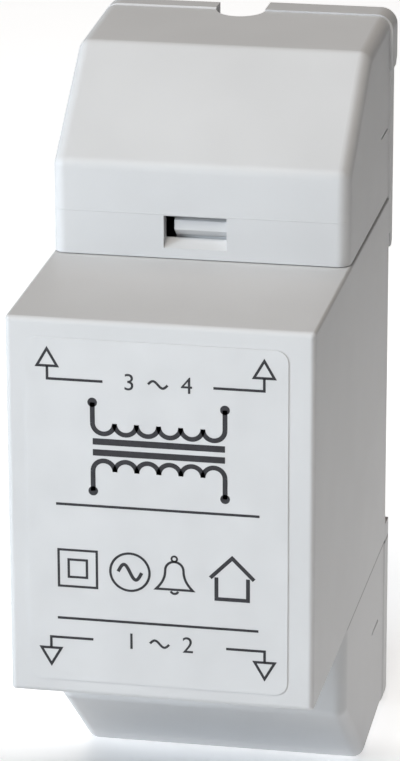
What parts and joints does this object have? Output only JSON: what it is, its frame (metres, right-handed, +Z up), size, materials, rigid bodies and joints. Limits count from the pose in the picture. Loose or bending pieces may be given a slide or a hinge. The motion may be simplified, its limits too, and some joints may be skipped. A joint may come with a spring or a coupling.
{
  "type": "doorbell transformer",
  "caption": "Light grey bell transformer for a mounting rail, with a plain front plate, two clip-on terminal covers and a sprung rail latch.",
  "frame": {"origin": "centre of the seat for the 35 mm mounting rail, on the plane of the rail's front face", "axes": "+Z up along the object's height, +Y towards the wall behind the rail, -Y out of the front plate, +X to the right seen from the front"},
  "size_m": [0.0356, 0.0576, 0.0908],
  "materials": {
    "grey_housing": "satin",
    "label_film": "satin",
    "spring_steel": "satin",
    "lamination_steel": "matt",
    "bobbin_nylon": "satin",
    "tinned_pin": "satin",
    "winding_wire": "gloss",
    "insulating_tape": "gloss",
    "cutout_case": "matt",
    "terminal_plastic": "satin",
    "zinc_steel": "satin",
    "contact_brass": "satin",
    "lead_insulation_black": "satin",
    "lead_insulation_blue": "satin"
  },
  "bodies": {
    "housing": {"front_housing": "grey_housing", "rear_base": "grey_housing", "upper_terminal_cover": "grey_housing", "lower_terminal_cover": "grey_housing", "rating_label": "label_film", "core_e_sheets": "lamination_steel", "core_i_sheets": "lamination_steel", "bobbin": "bobbin_nylon", "bobbin_pins": "tinned_pin", "primary_winding": "winding_wire", "secondary_winding": "winding_wire", "winding_tape": "insulating_tape", "thermal_cutout": "cutout_case", "secondary_terminal_block": "terminal_plastic", "primary_terminal_block": "terminal_plastic", "secondary_clamps": "zinc_steel", "primary_clamps": "zinc_steel", "secondary_screws": "zinc_steel", "primary_screws": "zinc_steel", "secondary_contact_bars": "contact_brass", "primary_contact_bars": "contact_brass", "secondary_leads": "lead_insulation_black", "primary_leads": "lead_insulation_blue"},
    "latch": {"rail_latch": "grey_housing", "latch_spring": "spring_steel"}
  },
  "joints": [
    {"name": "latch_slide", "type": "slide", "parent": "housing", "child": "latch", "axis": [0, 0, 1], "range_m": [-0.0035, 0], "stiffness_N_per_m": 900, "springref_m": 0.001, "deforming": ["latch_spring"]}
  ]
}
